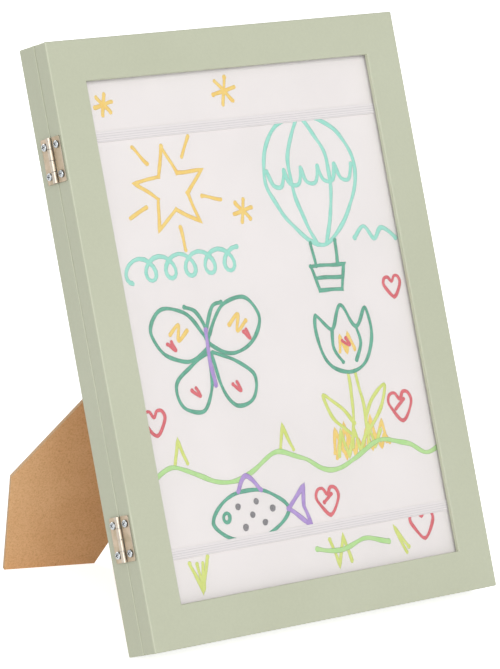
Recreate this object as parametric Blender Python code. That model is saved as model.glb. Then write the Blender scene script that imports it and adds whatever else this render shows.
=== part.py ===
"""Children's art frame: a painted box with a glazed door on its front, standing on an easel strut.

The frame is modelled upright in its own axes: x to the right, y from the front to the back
with zero on the rear face, z up the frame from its bottom edge. It is then leaned back onto
the strut, with the origin at the middle of its footprint on the table.
"""
import math

import bmesh
import bpy
from mathutils import Matrix, Vector

# Driving sizes, in metres
sheet_width = 0.210
sheet_height = 0.297
sheet_lap = 0.004
door_face_width = 0.0235
door_depth = 0.0100
box_depth = 0.0141
lean_angle = math.radians(20.0)
fit_gap = 0.0003
front_arris = 0.0008
seam_arris = 0.0004
window_arris = 0.0003
arris_steps = 3

# Box, back panel and what it stores
sheet_side_room = 0.0005
panel_thickness = 0.003
panel_rebate_width = 0.005
artwork_thickness = 0.0002
band_width = 0.006
band_thickness = 0.0007
upper_band_drop = 0.0308
lower_band_rise = 0.027
band_tail_length = 0.014
band_notch_side_room = 0.001
staple_wire = 0.0006
staple_side_room = 0.0004
staple_leg_length = 0.005
staple_tail_setback = 0.002
brad_spacing_max = 0.230
brad_length = 0.0085
brad_radius = 0.0006
brad_head_radius = 0.0012
brad_head_depth = 0.0005

# Door: pane, beads and magnets
door_lip_depth = 0.0025
pane_rebate_width = 0.007
pane_thickness = 0.001
bead_depth = 0.003
magnet_radius = 0.003
magnet_depth = 0.002
magnet_end_distance = 0.0637

# Door hinges
hinge_end_distance = 0.0637
hinge_height = 0.025
hinge_leaf_reach = 0.0085
hinge_sheet = 0.0006
hinge_barrel_radius = 0.0015
hinge_knuckle_count = 4
hinge_screw_spacing = 0.0163
hinge_screw_reach = 0.0055
hinge_corner_radius = 0.0008
screw_head_radius = 0.0021
screw_head_height = 0.0011
screw_rim_share = 0.35
screw_shank_radius = 0.0008
screw_length = 0.008
screw_tip_length = 0.0015
screw_cross_width = 0.0005
screw_cross_length = 0.0023
screw_cross_depth = 0.0006

# Easel strut and its hinge
strut_thickness = 0.0025
strut_open_angle = math.radians(40.7)
strut_hinge_slope = math.radians(25.7)
strut_hinge_x = 0.1558
strut_hinge_z = 0.2168
strut_top_width = 0.0416
strut_toe_outer = 0.0328
strut_toe_inner = 0.0176
strut_heel_outer = 0.0631
strut_heel_reach = 0.1940
strut_leaf_inset = 0.0018
strut_leaf_reach = 0.018
strut_leaf_sheet = 0.0008
strut_barrel_radius = 0.0018
strut_knuckle_count = 5
strut_leaf_corner_radius = 0.002
rivet_radius = 0.0012
rivet_head_radius = 0.0026
rivet_head_height = 0.0010
rivet_rim_share = 0.3
rivet_tail_radius = 0.0020
rivet_tail_height = 0.0008
rivet_row_reach = 0.0105
rivet_end_distance = 0.007

# Hangers
hanger_length = 0.045
hanger_height = 0.0085
hanger_sheet = 0.0008
hanger_rise = 0.0015
hanger_foot_length = 0.008
hanger_joggle_length = 0.002
hanger_tooth_count = 9
hanger_tooth_depth = 0.0015
hanger_nail_inset = 0.004
nail_radius = 0.0007
nail_head_radius = 0.0018
nail_head_height = 0.0006
nail_length = 0.008

# Shared small values of the modelling
cut_overrun = 0.001
merge_distance = 0.00001
round_sides = 16
pin_sides = 20
dome_steps = 4
smooth_angle = math.radians(35.0)
curl_wrap = math.radians(285.0)
curl_steps = 18

# Sizes that follow from the ones above
window_width = sheet_width - 2 * sheet_lap
window_height = sheet_height - 2 * sheet_lap
frame_width = window_width + 2 * door_face_width
frame_height = window_height + 2 * door_face_width
cavity_width = sheet_width + 2 * sheet_side_room
box_rail_width = (frame_width - cavity_width) / 2
box_front = -box_depth
door_back = box_front - fit_gap
door_front = door_back - door_depth
pane_rebate_edge = door_face_width - pane_rebate_width
panel_rebate_edge = box_rail_width - panel_rebate_width
pane_low = pane_rebate_edge + fit_gap
pane_front = door_front + door_lip_depth + fit_gap
pane_back = pane_front + pane_thickness
band_front = pane_back + fit_gap
band_end = band_front + band_tail_length
hinge_axis_x = -fit_gap - hinge_barrel_radius
hinge_axis_y = (box_front + door_back) / 2
strut_axis_y = fit_gap + strut_barrel_radius
strut_leaf_width = strut_top_width - 2 * strut_leaf_inset
rivet_spacing = strut_leaf_width - 2 * rivet_end_distance
upper_band_z = frame_height - door_face_width - upper_band_drop
lower_band_z = door_face_width + lower_band_rise
hinge_places = {"upper": frame_height - hinge_end_distance, "lower": hinge_end_distance}
magnet_places = {"upper": frame_height - magnet_end_distance, "lower": magnet_end_distance}
band_places = {"upper": upper_band_z, "lower": lower_band_z}
band_notch_depth = band_thickness + staple_wire + 3 * fit_gap

for old in list(bpy.data.objects):
    bpy.data.objects.remove(old, do_unlink=True)


def paint(name, colour, roughness, metallic=0.0, alpha=1.0):
    """A plain finish in the piece's own colour."""
    material = bpy.data.materials.new(name)
    material.use_nodes = True
    shader = material.node_tree.nodes["Principled BSDF"]
    shader.inputs["Base Color"].default_value = (*colour, 1.0)
    shader.inputs["Roughness"].default_value = roughness
    shader.inputs["Metallic"].default_value = metallic
    shader.inputs["Alpha"].default_value = alpha
    material.diffuse_color = (*colour, alpha)
    return material


# The finishes, in linear colour
sage_paint = ((0.57, 0.59, 0.46), 0.45)
hardboard_brown = ((0.50, 0.29, 0.14), 0.80)
paper_white = ((0.85, 0.82, 0.81), 0.85)
elastic_white = ((0.80, 0.78, 0.78), 0.75)
clear_acrylic = ((0.95, 0.96, 0.96), 0.05, 0.0, 0.2)
nickel_leaf = ((0.60, 0.44, 0.33), 0.30, 1.0)
zinc_screw = ((0.62, 0.64, 0.66), 0.28, 1.0)
steel_grey = ((0.45, 0.45, 0.46), 0.35, 1.0)
magnet_silver = ((0.66, 0.66, 0.67), 0.22, 1.0)


def move(solid, matrix):
    """Places a solid with a matrix and gives it back."""
    bmesh.ops.transform(solid, matrix=matrix, verts=solid.verts)
    return solid


def box(low, high):
    """A block between two corners."""
    low, high = Vector(low), Vector(high)
    floor = [(low.x, low.y, low.z), (high.x, low.y, low.z), (high.x, high.y, low.z), (low.x, high.y, low.z)]
    return prism(floor, (0, 0, high.z - low.z))


def prism(outline, sweep):
    """A flat outline of 3D points, extruded along the sweep."""
    solid = bmesh.new()
    face = solid.faces.new([solid.verts.new(point) for point in outline])
    grown = bmesh.ops.extrude_face_region(solid, geom=[face])
    ends = [item for item in grown["geom"] if isinstance(item, bmesh.types.BMVert)]
    bmesh.ops.translate(solid, vec=Vector(sweep), verts=ends)
    bmesh.ops.recalc_face_normals(solid, faces=solid.faces)
    return solid


def turned(profile, sides):
    """A profile of (radius, height) points from pole to pole, spun about z."""
    solid = bmesh.new()
    line = [solid.verts.new((radius, 0.0, height)) for radius, height in profile]
    edges = [solid.edges.new(pair) for pair in zip(line, line[1:])]
    bmesh.ops.spin(solid, geom=line + edges, cent=(0, 0, 0), axis=(0, 0, 1), angle=2 * math.pi,
                   steps=sides, use_merge=True)
    bmesh.ops.remove_doubles(solid, verts=solid.verts, dist=merge_distance)
    bmesh.ops.recalc_face_normals(solid, faces=solid.faces)
    return solid


def rod(start, end, radius, sides=round_sides):
    """A round bar between two points."""
    start, end = Vector(start), Vector(end)
    run = end - start
    solid = turned([(0.0, 0.0), (radius, 0.0), (radius, run.length), (0.0, run.length)], sides)
    return move(solid, Matrix.Translation(start) @ run.to_track_quat("Z", "Y").to_matrix().to_4x4())


def dome(radius, height, rim_share):
    """The profile of a domed head above its seat: an upright rim, then an arc to the crown."""
    turns = [math.pi / 2 * step / dome_steps for step in range(dome_steps)]
    arc = [(radius * math.cos(turn), height * (rim_share + (1 - rim_share) * math.sin(turn)))
           for turn in turns]
    return [(radius, 0.0), *arc, (0.0, height)]


def joined(solids):
    """Several solids in one mesh, each still a body of its own."""
    whole = bmesh.new()
    for solid in solids:
        part = bpy.data.meshes.new("part")
        solid.to_mesh(part)
        solid.free()
        whole.from_mesh(part)
        bpy.data.meshes.remove(part)
    return whole


def cut(body, cutters):
    """The body with all the cutters taken out of it."""
    shown = []
    for solid in (body, joined(cutters)):
        mesh = bpy.data.meshes.new("shape")
        solid.to_mesh(mesh)
        solid.free()
        shape = bpy.data.objects.new("shape", mesh)
        bpy.context.collection.objects.link(shape)
        shown.append(shape)
    boolean = shown[0].modifiers.new("cut", "BOOLEAN")
    boolean.operation = "DIFFERENCE"
    boolean.solver = "EXACT"
    boolean.object = shown[1]
    graph = bpy.context.evaluated_depsgraph_get()
    result = bmesh.new()
    result.from_mesh(shown[0].evaluated_get(graph).data)
    for shape in shown:
        mesh = shape.data
        bpy.data.objects.remove(shape, do_unlink=True)
        bpy.data.meshes.remove(mesh)
    bmesh.ops.dissolve_degenerate(result, dist=merge_distance, edges=result.edges)
    return result


def piece(name, solid, carrier, finish, smooth=False):
    """Makes the named object from a solid given in its carrier's axes."""
    mesh = bpy.data.meshes.new(name)
    solid.to_mesh(mesh)
    solid.free()
    if smooth:
        mesh.shade_smooth()
        mesh.set_sharp_from_angle(angle=smooth_angle)
    mesh.materials.append(paint(name + "_finish", *finish))
    made = bpy.data.objects.new(name, mesh)
    bpy.context.collection.objects.link(made)
    made.parent = carrier
    return made


def pivot(name, carrier, matrix):
    """An empty that carries the pieces of one body."""
    empty = bpy.data.objects.new(name, None)
    bpy.context.collection.objects.link(empty)
    empty.parent = carrier
    empty.matrix_local = matrix
    return empty


# The carriers: the leaning box, the door on its hinge line and the strut on its pin
leaning_frame = pivot("leaning_frame", None, Matrix.Rotation(-lean_angle, 4, "X"))
door_axis = Matrix.Translation((hinge_axis_x, hinge_axis_y, 0))
door_pivot = pivot("door_pivot", leaning_frame, door_axis)
pin_run = Vector((math.cos(strut_hinge_slope), 0, -math.sin(strut_hinge_slope)))
strut_down = Vector((-math.sin(strut_hinge_slope), 0, -math.cos(strut_hinge_slope)))
outward = Vector((0, 1, 0))
pin_axes = Matrix((pin_run, strut_down, outward)).transposed().to_4x4()
pin_place = Matrix.Translation((strut_hinge_x, strut_axis_y, strut_hinge_z)) @ pin_axes
strut_place = pin_place @ Matrix.Rotation(strut_open_angle, 4, "X")
strut_pivot = pivot("strut_pivot", leaning_frame, strut_place)


def eased(corners, radii):
    """A section's corners, with each one that has a radius turned into an arc."""
    points = []
    count = len(corners)
    for index, corner in enumerate(corners):
        here = Vector(corner)
        radius = radii[index]
        if radius == 0:
            points.append(here)
            continue
        before = (Vector(corners[index - 1]) - here).normalized()
        after = (Vector(corners[(index + 1) % count]) - here).normalized()
        half = before.angle(after) / 2
        centre = here + (before + after).normalized() * (radius / math.sin(half))
        first = (here + before * (radius / math.tan(half)) - centre).normalized()
        last = (here + after * (radius / math.tan(half)) - centre).normalized()
        for step in range(arris_steps + 1):
            points.append(centre + first.slerp(last, step / arris_steps) * radius)
    return points


def mitred_rail(side, section):
    """One rail of a mitred frame from its section of (inward, depth) points."""
    upright = side in ("left", "right")
    length = frame_height if upright else frame_width
    pull = fit_gap / math.sqrt(2)
    solid = prism([(point[0], point[1], 0.0) for point in section], (0, 0, length))
    for vert in solid.verts:
        inset = vert.co.x + pull
        vert.co.z = inset if vert.co.z < length / 2 else length - inset
    flip_x = Matrix.Diagonal((-1, 1, 1, 1))
    places = {
        "left": Matrix.Identity(4),
        "right": Matrix.Translation((frame_width, 0, 0)) @ flip_x,
        "bottom": Matrix.Translation((frame_width, 0, 0)) @ Matrix.Rotation(-math.pi / 2, 4, "Y"),
        "top": Matrix.Translation((frame_width, 0, frame_height)) @ Matrix.Diagonal((1, 1, -1, 1))
        @ Matrix.Rotation(-math.pi / 2, 4, "Y"),
    }
    move(solid, places[side])
    bmesh.ops.recalc_face_normals(solid, faces=solid.faces)
    return solid


box_section = eased(
    [(0, 0), (panel_rebate_edge, 0), (panel_rebate_edge, -panel_thickness - fit_gap),
     (box_rail_width, -panel_thickness - fit_gap), (box_rail_width, box_front), (0, box_front)],
    [0, 0, 0, 0, 0, seam_arris])
door_section = eased(
    [(0, door_back), (pane_rebate_edge, door_back), (pane_rebate_edge, door_front + door_lip_depth),
     (door_face_width, door_front + door_lip_depth), (door_face_width, door_front), (0, door_front)],
    [seam_arris, 0, 0, 0, window_arris, front_arris])


def screw_places(body):
    """Where the hinge screws of the box or the door enter the left stile."""
    side = 1 if body == "box" else -1
    y = hinge_axis_y + side * hinge_screw_reach
    for name, z in hinge_places.items():
        for end, up in (("top", 1), ("bottom", -1)):
            yield name, end, y, z + up * hinge_screw_spacing / 2


def screw_holes(body):
    """Pilot holes for the hinge screws."""
    reach = screw_length + fit_gap
    for _, _, y, z in screw_places(body):
        yield rod((-cut_overrun, y, z), (reach, y, z), screw_shank_radius + fit_gap, pin_sides)


def magnet_x():
    """The magnets' line down the right stile, in the middle of the box rail's face."""
    return frame_width - box_rail_width / 2


def magnet_pockets(face, inward):
    """Round pockets that hold the magnets just under a face."""
    for z in magnet_places.values():
        start = (magnet_x(), face - inward * cut_overrun, z)
        end = (magnet_x(), face + inward * (magnet_depth + 2 * fit_gap), z)
        yield rod(start, end, magnet_radius + fit_gap, pin_sides)


def band_notches(wall, inward):
    """Shallow notches in a stile's inner face, for the turned-back ends of the bands."""
    floor = wall - inward * band_notch_depth
    mouth = wall + inward * cut_overrun
    half = band_width / 2 + band_notch_side_room
    low_y = box_front - cut_overrun
    high_y = band_end + fit_gap
    for z in band_places.values():
        yield box((min(floor, mouth), low_y, z - half), (max(floor, mouth), high_y, z + half))


def staple_line():
    """How far back the staples cross the bands' tails."""
    return band_end - staple_tail_setback


def staple_slots(wall, inward, z):
    """Two slots in a notch's floor, for the legs of a staple."""
    half = staple_wire / 2 + fit_gap
    reach = band_width / 2 + staple_side_room + staple_wire / 2
    mouth = wall - inward * (band_notch_depth - cut_overrun)
    floor = wall - inward * (band_notch_depth + staple_leg_length + fit_gap)
    for end in (-1, 1):
        middle = z + end * reach
        yield box((min(mouth, floor), staple_line() - half, middle - half),
                  (max(mouth, floor), staple_line() + half, middle + half))


def staple(wall, inward, z):
    """A wire staple: its crown crosses the band's tail and its legs run into the stile."""
    crown_outer = wall - inward * fit_gap
    crown_inner = crown_outer - inward * staple_wire
    leg_end = wall - inward * (band_notch_depth + staple_leg_length)
    inner = band_width / 2 + staple_side_room
    outer = inner + staple_wire
    outline = [(crown_outer, -outer), (crown_outer, outer), (leg_end, outer), (leg_end, inner),
               (crown_inner, inner), (crown_inner, -inner), (leg_end, -inner), (leg_end, -outer)]
    near = staple_line() - staple_wire / 2
    return prism([(x, near, z + rise) for x, rise in outline], (0, staple_wire, 0))


def brad_places():
    """The brads round the back panel, evenly spaced between the corners."""
    line = panel_rebate_edge + panel_rebate_width / 2
    places = []
    for span, upright in ((frame_width, False), (frame_height, True)):
        run = span - 2 * line
        count = math.ceil(run / brad_spacing_max)
        for odd in range(1, 2 * count, 2):
            along = line + run * odd / (2 * count)
            for far in (False, True):
                across = (frame_width if upright else frame_height) - line if far else line
                places.append((across, along) if upright else (along, across))
    return places


def brad_holes():
    """Holes for the brads, through the panel and into the rails."""
    for x, z in brad_places():
        low = (x, -brad_length - fit_gap, z)
        yield rod(low, (x, cut_overrun, z), brad_radius + fit_gap, round_sides // 2)


def brad_sinks():
    """Shallow sinks in the panel for the brads' heads."""
    for x, z in brad_places():
        yield rod((x, -brad_head_depth - fit_gap, z), (x, cut_overrun, z), brad_head_radius + fit_gap)


def hanger_frames():
    """Each hanger's axes: its middle on the rear face, its length along local x, up along z."""
    middle = panel_rebate_edge / 2
    return {
        "portrait_hanger": Matrix.Translation((frame_width / 2, 0, frame_height - middle)),
        "landscape_hanger": Matrix.Translation((frame_width - middle, 0, frame_height / 2))
        @ Matrix.Rotation(math.pi / 2, 4, "Y"),
    }


def hanger_nail_ends():
    """The two nails of a hanger, along its length."""
    reach = hanger_length / 2 - hanger_nail_inset
    return (-reach, reach)


def nail_holes(name):
    """Holes in a rail for a hanger's nails."""
    frame = hanger_frames()[name]
    depth = nail_length - hanger_sheet
    for x in hanger_nail_ends():
        start = frame @ Vector((x, cut_overrun, 0))
        end = frame @ Vector((x, -depth - fit_gap, 0))
        yield rod(start, end, nail_radius + fit_gap, round_sides // 2)


# The box: four rails of painted fibreboard, mitred and glued, with a rebate for the panel
for side, name in (("left", "box_left_stile"), ("right", "box_right_stile"),
                   ("top", "box_top_rail"), ("bottom", "box_bottom_rail")):
    rail = cut(mitred_rail(side, box_section), brad_holes())
    if side in ("left", "right"):
        wall = box_rail_width if side == "left" else frame_width - box_rail_width
        inward = 1 if side == "left" else -1
        rail = cut(rail, band_notches(wall, inward))
        for z in band_places.values():
            rail = cut(rail, staple_slots(wall, inward, z))
    if side == "left":
        rail = cut(rail, screw_holes("box"))
    if side == "right":
        rail = cut(rail, magnet_pockets(box_front, 1))
        rail = cut(rail, nail_holes("landscape_hanger"))
    if side == "top":
        rail = cut(rail, nail_holes("portrait_hanger"))
    piece(name, rail, leaning_frame, sage_paint)


def strut_rivet_row(reach):
    """The rivets of one leaf, in the pin's axes."""
    return [(along, reach) for along in (-rivet_spacing / 2, rivet_spacing / 2)]


# The back panel: brown hardboard, flush in its rebate, bradded down
panel_low = panel_rebate_edge + fit_gap
panel = box((panel_low, -panel_thickness, panel_low),
            (frame_width - panel_low, 0, frame_height - panel_low))
panel_holes = []
for along, reach in strut_rivet_row(-rivet_row_reach):
    start = pin_place @ Vector((along, reach, cut_overrun))
    end = pin_place @ Vector((along, reach, -strut_axis_y - panel_thickness - cut_overrun))
    panel_holes.append(rod(start, end, rivet_radius + fit_gap))
panel = cut(cut(cut(panel, panel_holes), brad_sinks()), brad_holes())
piece("back_panel", panel, leaning_frame, hardboard_brown)

for number, (x, z) in enumerate(brad_places(), 1):
    profile = [(0.0, -brad_length), (brad_radius, -brad_length + 2 * brad_radius),
               (brad_radius, -brad_head_depth), (brad_head_radius, -brad_head_depth),
               (brad_head_radius, 0.0), (0.0, 0.0)]
    lie = Matrix.Translation((x, 0, z)) @ Matrix.Rotation(-math.pi / 2, 4, "X")
    brad = move(turned(profile, round_sides // 2), lie)
    piece(f"back_panel_brad_{number}", brad, leaning_frame, steel_grey, smooth=True)

# The stored sheets and the drawing in front of them, standing on the cavity's floor
artwork_front = band_front + band_thickness + fit_gap
artwork_back = artwork_front + artwork_thickness
stack_front = artwork_back + fit_gap
stack_back = -panel_thickness - 2 * fit_gap - rivet_tail_height
sheet_left = (frame_width - sheet_width) / 2
sheet_bottom = box_rail_width + fit_gap
for name, front, back in (("artwork_sheet", artwork_front, artwork_back),
                          ("stored_sheets", stack_front, stack_back)):
    solid = box((sheet_left, front, sheet_bottom),
                (sheet_left + sheet_width, back, sheet_bottom + sheet_height))
    piece(name, solid, leaning_frame, paper_white)

# The two elastic bands that hold the sheets back, their ends turned into the stiles' notches
for place, z in band_places.items():
    outer = box_rail_width - band_notch_depth + fit_gap
    inner = outer + band_thickness
    far_inner, far_outer = frame_width - inner, frame_width - outer
    outline = [(outer, band_front), (far_outer, band_front), (far_outer, band_end), (far_inner, band_end),
               (far_inner, band_front + band_thickness), (inner, band_front + band_thickness),
               (inner, band_end), (outer, band_end)]
    solid = prism([(x, y, z - band_width / 2) for x, y in outline], (0, 0, band_width))
    piece(place + "_elastic_band", solid, leaning_frame, elastic_white)
for place, z in band_places.items():
    for side, wall, inward in (("left", box_rail_width, 1), ("right", frame_width - box_rail_width, -1)):
        wire = staple(wall, inward, z)
        piece(f"{place}_band_{side}_staple", wire, leaning_frame, steel_grey)

# The magnets that keep the door shut, one in the box facing one in the door
for place, z in magnet_places.items():
    for body, carrier, start in (("box", leaning_frame, box_front + fit_gap),
                                 ("door", door_pivot, door_back - fit_gap - magnet_depth)):
        shift = carrier.matrix_local.inverted() if carrier is door_pivot else Matrix.Identity(4)
        disc = rod((magnet_x(), start, z), (magnet_x(), start + magnet_depth, z), magnet_radius, pin_sides)
        piece(place + "_" + body + "_magnet", move(disc, shift), carrier, magnet_silver, smooth=True)

# The door: the same kind of mitred frame, with a rebate behind its lip for the pane
to_door = door_axis.inverted()
for side, name in (("left", "door_left_stile"), ("right", "door_right_stile"),
                   ("top", "door_top_rail"), ("bottom", "door_bottom_rail")):
    rail = mitred_rail(side, door_section)
    if side == "left":
        rail = cut(rail, screw_holes("door"))
    if side == "right":
        rail = cut(rail, magnet_pockets(door_back, -1))
    piece(name, move(rail, to_door), door_pivot, sage_paint)

pane = box((pane_low, pane_front, pane_low), (frame_width - pane_low, pane_back, frame_height - pane_low))
piece("window_pane", move(pane, to_door), door_pivot, clear_acrylic)

# Four thin beads glued in the rebate behind the pane, the side ones between the bands
bead_start = lower_band_z + band_width / 2 + band_notch_side_room
bead_stop = upper_band_z - band_width / 2 - band_notch_side_room
bead_front = pane_back + fit_gap
bead_back = bead_front + bead_depth
pane_right, pane_top = frame_width - pane_low, frame_height - pane_low
for side, low_x, high_x, low_z, high_z in (
        ("left", pane_low, box_rail_width, bead_start, bead_stop),
        ("right", frame_width - box_rail_width, pane_right, bead_start, bead_stop),
        ("top", pane_low, pane_right, frame_height - box_rail_width, pane_top),
        ("bottom", pane_low, pane_right, pane_low, box_rail_width)):
    bead = box((low_x, bead_front, low_z), (high_x, bead_back, high_z))
    piece(side + "_pane_bead", move(bead, to_door), door_pivot, sage_paint)


def leaf_section(radius, sheet, reach, tab):
    """A hinge leaf's section about its pin: a plate whose end is rolled into the knuckle."""
    inner = radius - sheet
    start = -math.pi / 2
    outer_start = start
    outline = [(reach, -radius), (0.0, -radius)]
    if tab:
        outline += [(-tab, -radius), (-tab, -inner)]
        outer_start = -math.pi - math.asin(-inner / radius)
    turns = [step / curl_steps for step in range(curl_steps + 1)]
    end = start - curl_wrap
    outer_turns = turns[1:] if not tab else turns
    for share in outer_turns:
        angle = outer_start + (end - outer_start) * share
        outline.append((radius * math.cos(angle), radius * math.sin(angle)))
    for share in reversed(turns):
        angle = start + (end - start) * share
        outline.append((inner * math.cos(angle), inner * math.sin(angle)))
    outline.append((reach, -inner))
    return outline


def knuckle_slots(count, width, radius, mine):
    """Boxes that take away the knuckles that belong to the other leaf."""
    pitch = width / count
    reach = radius + fit_gap
    for index in range(count):
        if index in mine:
            continue
        low = -width / 2 + index * pitch - fit_gap / 2
        high = low + pitch + fit_gap
        low = low - cut_overrun if index == 0 else low
        high = high + cut_overrun if index == count - 1 else high
        yield box((low, -reach - cut_overrun, -reach), (high, reach, reach))


def leaf(width, radius, sheet, reach, count, mine, holes, hole_radius, corner, tab=0.0):
    """A hinge leaf in its pin's axes: x along the pin, y away from it, z off the wood."""
    section = leaf_section(radius, sheet, reach, tab)
    solid = prism([(-width / 2, away, lift) for away, lift in section], (width, 0, 0))
    cutters = list(knuckle_slots(count, width, radius, mine))
    for along, away in holes:
        cutters.append(rod((along, away, -radius - cut_overrun), (along, away, cut_overrun), hole_radius))
    for end in (-1, 1):
        centre = (end * (width / 2 - corner), reach - corner)
        nib = [(end * (width / 2 + corner), reach + corner)]
        for step in range(arris_steps + 1):
            angle = math.pi / 2 * step / arris_steps
            nib.append((centre[0] + end * corner * math.cos(angle), centre[1] + corner * math.sin(angle)))
        nib.insert(1, (end * (width / 2 + corner), centre[1]))
        nib.append((centre[0], reach + corner))
        cutters.append(prism([(x, y, -radius - cut_overrun) for x, y in nib], (0, 0, radius + cut_overrun)))
    return cut(solid, cutters)


def pan_screw(place):
    """A pan-head screw with a cross recess; its head stands on z, its shank runs down."""
    profile = [(0.0, -screw_length), (screw_shank_radius, -screw_length + screw_tip_length),
               (screw_shank_radius, 0.0), *dome(screw_head_radius, screw_head_height, screw_rim_share)]
    solid = turned(profile, round_sides)
    half, reach = screw_cross_width / 2, screw_cross_length / 2
    floor, top = screw_head_height - screw_cross_depth, screw_head_height + cut_overrun
    arm = [(reach, half), (half, half), (half, reach)]
    outline = arm + [(-x, y) for x, y in reversed(arm)]
    outline += [(-x, -y) for x, y in arm] + [(x, -y) for x, y in reversed(arm)]
    recess = prism([(x, y, floor) for x, y in outline], (0, 0, top - floor))
    return move(cut(solid, [recess]), place)


# The door's hinges: two small butt hinges on the left side, screwed to the box and the door
leaf_holes = [(end * hinge_screw_spacing / 2, hinge_screw_reach) for end in (-1, 1)]
box_knuckles = [index for index in range(hinge_knuckle_count) if index % 2 == 1]
door_knuckles = [index for index in range(hinge_knuckle_count) if index % 2 == 0]
for place, z in hinge_places.items():
    at_pin = Matrix.Translation((hinge_axis_x, hinge_axis_y, z))
    box_side = Matrix(((0, 0, -1, 0), (0, 1, 0, 0), (1, 0, 0, 0), (0, 0, 0, 1)))
    door_side = Matrix(((0, 0, -1, 0), (0, -1, 0, 0), (-1, 0, 0, 0), (0, 0, 0, 1)))
    mirrored = [hinge_knuckle_count - 1 - index for index in door_knuckles]
    for body, carrier, turn, mine in (("box", leaning_frame, box_side, box_knuckles),
                                      ("door", door_pivot, door_side, mirrored)):
        solid = leaf(hinge_height, hinge_barrel_radius, hinge_sheet, hinge_leaf_reach, hinge_knuckle_count,
                     mine, leaf_holes, screw_shank_radius + fit_gap, hinge_corner_radius)
        lie = to_door @ at_pin @ turn if body == "door" else at_pin @ turn
        piece(place + "_hinge_" + body + "_leaf", move(solid, lie), carrier, nickel_leaf, smooth=True)
        for owner, end, y, height in screw_places(body):
            if owner == place:
                seat = Matrix.Translation((-2 * fit_gap - hinge_sheet, y, height))
                seat = seat @ Matrix.Rotation(-math.pi / 2, 4, "Y")
                screw = pan_screw(to_door @ seat if body == "door" else seat)
                piece(f"{place}_hinge_{body}_{end}_screw", screw, carrier, zinc_screw, smooth=True)
    half = hinge_height / 2
    pin = rod((hinge_axis_x, hinge_axis_y, z - half), (hinge_axis_x, hinge_axis_y, z + half),
              hinge_barrel_radius - hinge_sheet - fit_gap, pin_sides)
    piece(place + "_hinge_pin", pin, leaning_frame, zinc_screw, smooth=True)


def foot_reach(along):
    """How far down the strut its inner face meets the table, at a place along the pin."""
    up = Vector((0, -math.sin(lean_angle), math.cos(lean_angle)))
    origin = strut_place @ Vector((along, 0, -strut_barrel_radius))
    step = strut_place.to_3x3() @ Vector((0, 1, 0))
    return -origin.dot(up) / step.dot(up)


# The easel strut: brown fibreboard, its toe cut to stand flat with the frame upright
strut_top = strut_barrel_radius + fit_gap
strut_inner = -strut_barrel_radius
strut_outline = [(-strut_top_width / 2, strut_top), (strut_top_width / 2, strut_top),
                 (strut_toe_inner, foot_reach(strut_toe_inner)),
                 (-strut_toe_outer, foot_reach(-strut_toe_outer)),
                 (-strut_heel_outer, strut_heel_reach)]
strut = prism([(x, y, strut_inner) for x, y in strut_outline], (0, 0, strut_thickness))
rivet_cuts = []
for along, reach in strut_rivet_row(rivet_row_reach):
    rivet_cuts.append(rod((along, reach, strut_inner - cut_overrun),
                          (along, reach, strut_inner + strut_thickness + cut_overrun),
                          rivet_radius + fit_gap))
strut = cut(strut, rivet_cuts)
sinks = []
for along, reach in strut_rivet_row(rivet_row_reach):
    sinks.append(rod((along, reach, strut_inner - cut_overrun),
                     (along, reach, strut_inner + rivet_tail_height + fit_gap), rivet_tail_radius + fit_gap))
piece("easel_strut", cut(strut, sinks), strut_pivot, hardboard_brown)

# The strut's hinge: a leaf riveted to the panel, one riveted to the strut, with stop tabs
stop_lift = strut_barrel_radius - strut_leaf_sheet
stop_tab = (stop_lift * math.cos(strut_open_angle) + stop_lift - fit_gap) / math.sin(strut_open_angle)
panel_knuckles = [index for index in range(strut_knuckle_count) if index % 2 == 0]
leg_knuckles = [index for index in range(strut_knuckle_count) if index % 2 == 1]
panel_leaf = leaf(strut_leaf_width, strut_barrel_radius, strut_leaf_sheet, strut_leaf_reach,
                  strut_knuckle_count, panel_knuckles, strut_rivet_row(rivet_row_reach),
                  rivet_radius + fit_gap, strut_leaf_corner_radius)
half_turn = Matrix.Rotation(math.pi, 4, "Z")
piece("strut_hinge_panel_leaf", move(panel_leaf, pin_place @ half_turn), leaning_frame, zinc_screw,
      smooth=True)
leg_leaf = leaf(strut_leaf_width, strut_barrel_radius, strut_leaf_sheet, strut_leaf_reach,
                strut_knuckle_count, leg_knuckles, strut_rivet_row(rivet_row_reach),
                rivet_radius + fit_gap, strut_leaf_corner_radius, stop_tab)
over = Matrix.Rotation(math.pi, 4, "Y")
piece("strut_hinge_leg_leaf", move(leg_leaf, over), strut_pivot, zinc_screw, smooth=True)
half = strut_leaf_width / 2
pin = rod((-half, 0, 0), (half, 0, 0), strut_barrel_radius - strut_leaf_sheet - fit_gap, pin_sides)
piece("strut_hinge_pin", move(pin, pin_place), leaning_frame, zinc_screw, smooth=True)


def rivet(along, reach, seat, grip):
    """A rivet whose domed head stands on the seat, its tail spread below the grip."""
    profile = [(0.0, -grip - rivet_tail_height), (rivet_tail_radius, -grip - rivet_tail_height),
               (rivet_tail_radius, -grip), (rivet_radius, -grip), (rivet_radius, 0.0),
               *dome(rivet_head_radius, rivet_head_height, rivet_rim_share)]
    return move(turned(profile, round_sides), Matrix.Translation((along, reach, seat)))


panel_seat = -stop_lift + fit_gap
panel_grip = panel_seat + strut_axis_y + panel_thickness + fit_gap
for side, (x, y) in zip(("left", "right"), strut_rivet_row(-rivet_row_reach)):
    made = rivet(x, y, panel_seat, panel_grip)
    piece(f"panel_{side}_rivet", move(made, pin_place), leaning_frame, zinc_screw, smooth=True)
leg_seat = strut_barrel_radius + fit_gap
leg_grip = leg_seat - strut_inner - rivet_tail_height
for side, (x, y) in zip(("left", "right"), strut_rivet_row(rivet_row_reach)):
    piece(f"strut_{side}_rivet", rivet(x, y, leg_seat, leg_grip), strut_pivot, zinc_screw, smooth=True)


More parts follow.
